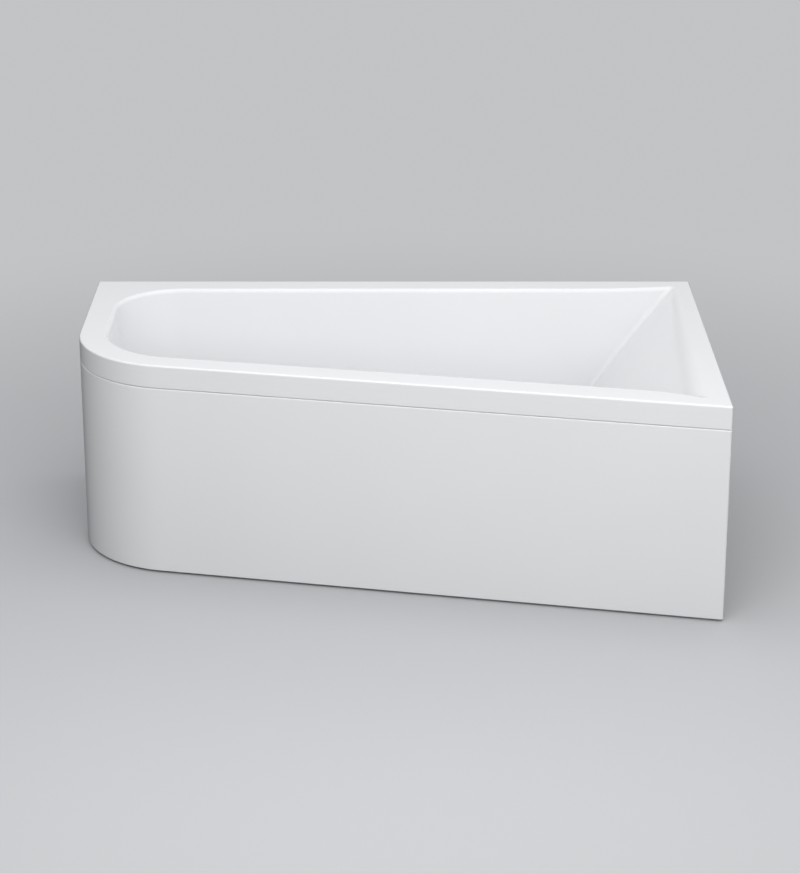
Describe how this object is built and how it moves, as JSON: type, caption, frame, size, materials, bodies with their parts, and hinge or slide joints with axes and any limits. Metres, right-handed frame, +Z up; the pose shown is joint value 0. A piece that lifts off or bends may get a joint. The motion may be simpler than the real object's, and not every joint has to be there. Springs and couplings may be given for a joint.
{
  "type": "built-in bathtub",
  "caption": "Corner bath with a slanted front, a rounded nose and a one-piece apron; turning overflow knob lifts the plug, feet adjust in height.",
  "frame": {"origin": "on the floor, under the middle of the bath's own box", "axes": "+Z up, +X along the rear wall to the right-hand end, +Y at the rear wall"},
  "size_m": [1.6, 0.9984, 0.555],
  "materials": {
    "acrylic": "glossy white acrylic",
    "glass_fibre": "rough sprayed glass fibre",
    "chipboard": "raw chipboard",
    "plywood": "raw plywood",
    "zinc_steel": "zinc-plated steel",
    "chrome": "polished chrome",
    "black_plastic": "matt black plastic",
    "grey_plastic": "grey pipe plastic",
    "white_plastic": "soft white plastic",
    "rubber": "black rubber"
  },
  "bodies": {
    "bath": {"apron_clip_1": "zinc_steel", "apron_clip_2": "zinc_steel", "apron_clip_3": "zinc_steel", "apron_clip_4": "zinc_steel", "base_board": "chipboard", "bowden_cable": "black_plastic", "floor_bracket_1": "zinc_steel", "floor_bracket_2": "zinc_steel", "floor_bracket_3": "zinc_steel", "foot_lock_nut_1": "zinc_steel", "foot_lock_nut_2": "zinc_steel", "foot_lock_nut_3": "zinc_steel", "foot_lock_nut_4": "zinc_steel", "foot_top_nut_1": "zinc_steel", "foot_top_nut_2": "zinc_steel", "foot_top_nut_3": "zinc_steel", "foot_top_nut_4": "zinc_steel", "glassfibre_backing": "glass_fibre", "hose_nut_lower": "grey_plastic", "hose_nut_upper": "grey_plastic", "leg_rail_left": "zinc_steel", "leg_rail_right": "zinc_steel", "outlet_nut": "grey_plastic", "outlet_pipe": "grey_plastic", "overflow_bezel": "chrome", "overflow_body": "grey_plastic", "overflow_gasket": "rubber", "overflow_hose": "white_plastic", "rail_screw_1": "zinc_steel", "rail_screw_2": "zinc_steel", "rail_screw_3": "zinc_steel", "rail_screw_4": "zinc_steel", "rim_batten_front": "plywood", "rim_batten_left": "plywood", "trap_body": "grey_plastic", "trap_nut": "grey_plastic", "tub_shell": "acrylic", "wall_bracket_1": "zinc_steel", "wall_bracket_2": "zinc_steel", "wall_bracket_3": "zinc_steel", "waste_body": "grey_plastic", "waste_flange": "chrome", "waste_gasket": "rubber"},
    "apron": {"apron_panel": "acrylic", "apron_stiffener": "plywood"},
    "knob": {"overflow_knob": "chrome", "overflow_spindle": "zinc_steel"},
    "plug": {"waste_plug": "chrome", "plug_seal": "rubber", "plug_stem": "chrome"},
    "foot_1": {"foot_rod_1": "zinc_steel", "foot_pad_1": "black_plastic"},
    "foot_2": {"foot_rod_2": "zinc_steel", "foot_pad_2": "black_plastic"},
    "foot_3": {"foot_rod_3": "zinc_steel", "foot_pad_3": "black_plastic"},
    "foot_4": {"foot_rod_4": "zinc_steel", "foot_pad_4": "black_plastic"}
  },
  "joints": [
    {"name": "apron_pull", "type": "slide", "parent": "bath", "child": "apron", "axis": [0, -1, 0], "range_m": [0, 0.15]},
    {"name": "knob_turn", "type": "hinge", "parent": "bath", "child": "knob", "pos_m": [-0.12, -0.21872, 0.478], "axis": [0.2025, 0.9768, 0.0698], "range_deg": [0, 90]},
    {"name": "plug_lift", "type": "slide", "parent": "bath", "child": "plug", "axis": [0, 0, 1], "range_m": [0, 0.01]},
    {"name": "foot_1_height", "type": "slide", "parent": "bath", "child": "foot_1", "axis": [0, 0, -1], "range_m": [-0.01, 0.03]},
    {"name": "foot_2_height", "type": "slide", "parent": "bath", "child": "foot_2", "axis": [0, 0, -1], "range_m": [-0.01, 0.03]},
    {"name": "foot_3_height", "type": "slide", "parent": "bath", "child": "foot_3", "axis": [0, 0, -1], "range_m": [-0.01, 0.03]},
    {"name": "foot_4_height", "type": "slide", "parent": "bath", "child": "foot_4", "axis": [0, 0, -1], "range_m": [-0.01, 0.03]}
  ],
  "couplings": [
    {"joint": "plug_lift", "follows": "knob_turn", "m_per_rad": 0.006366}
  ]
}
